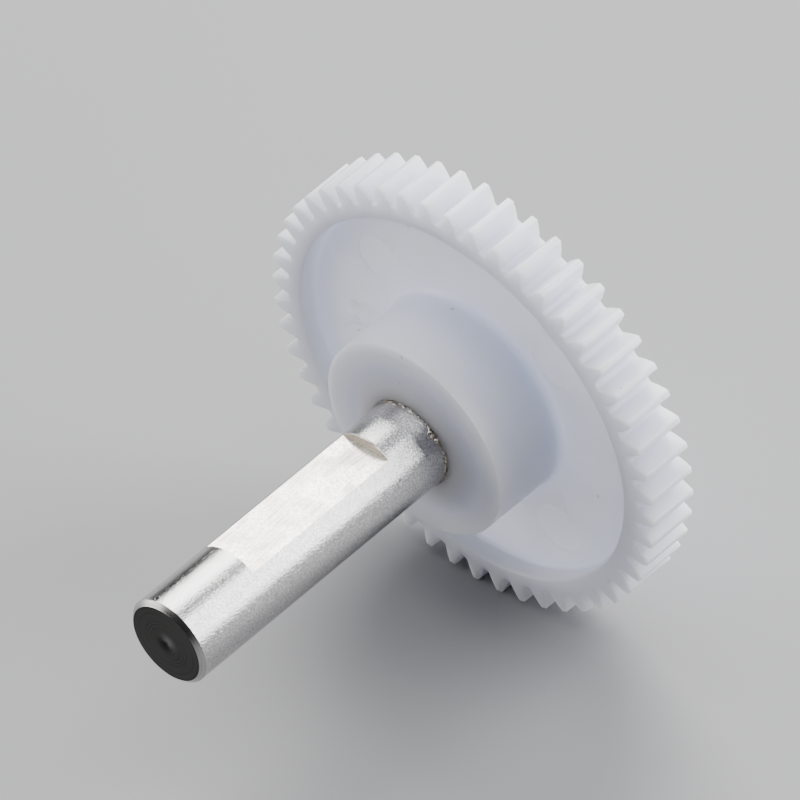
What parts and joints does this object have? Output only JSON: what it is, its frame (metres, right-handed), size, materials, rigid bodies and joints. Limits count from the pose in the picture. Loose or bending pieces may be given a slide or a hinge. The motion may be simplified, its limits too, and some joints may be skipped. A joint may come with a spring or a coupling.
{
  "type": "extruder gear assembly",
  "caption": "White moulded spur gear with a round hub, fixed on a steel shaft with a milled flat for a grub screw. It drives the filament wheel of a 3D printer's extruder.",
  "frame": {"origin": "on the spin axis, in the middle of the teeth's width", "axes": "-Y along the shaft towards its long end, +Y towards the gear's back, +Z out of the shaft's flat"},
  "size_m": [0.026, 0.0281, 0.026],
  "materials": {
    "acetal": "satin, natural white acetal",
    "steel": "ground and turned"
  },
  "bodies": {
    "root": {"drive_shaft": "steel", "spur_gear": "acetal"}
  },
  "joints": []
}
